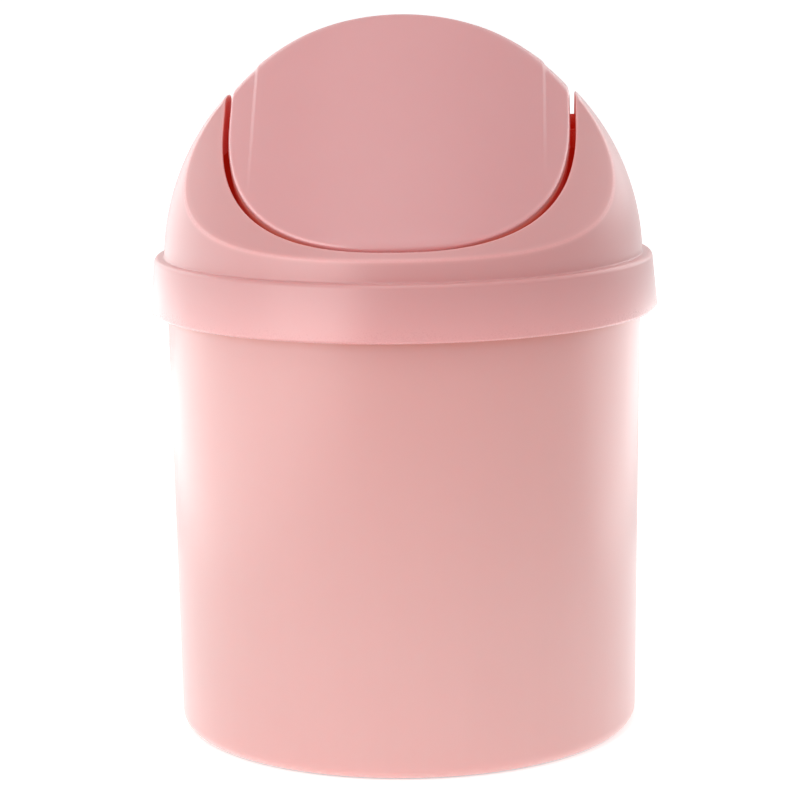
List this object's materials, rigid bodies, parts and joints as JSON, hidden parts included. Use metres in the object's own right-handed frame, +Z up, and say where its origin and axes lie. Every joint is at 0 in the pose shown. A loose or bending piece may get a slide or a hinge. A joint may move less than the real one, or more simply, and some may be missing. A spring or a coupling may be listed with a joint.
{
  "type": "countertop trash can with swing lid",
  "caption": "Small round countertop trash can: a tapered bucket, a domed lift-off hood with a collar, and a roof-shaped flap that swings both ways on side pins.",
  "frame": {"origin": "centre of the bucket's foot ring, on the surface that the can stands on", "axes": "+Z up through the hood; the flap's pivot lies along X, and its two faces look to -Y (front) and +Y (back)"},
  "size_m": [0.1378, 0.1378, 0.1946],
  "materials": {
    "bucket_plastic": "satin pastel pink, plain moulded wall",
    "hood_plastic": "satin pastel pink, slightly translucent at the edges",
    "flap_plastic": "satin pastel pink, slightly translucent at the edges"
  },
  "bodies": {
    "bucket": {"bucket": "bucket_plastic"},
    "hood": {"hood": "hood_plastic"},
    "swing_flap": {"swing_flap": "flap_plastic"}
  },
  "joints": [
    {"name": "hood_lift", "type": "slide", "parent": "bucket", "child": "hood", "axis": [0, 0, 1], "range_m": [0, 0.04]},
    {"name": "flap_swing", "type": "hinge", "parent": "hood", "child": "swing_flap", "pos_m": [0, 0, 0.16505], "axis": [1, 0, 0], "range_deg": [-75, 75]}
  ]
}
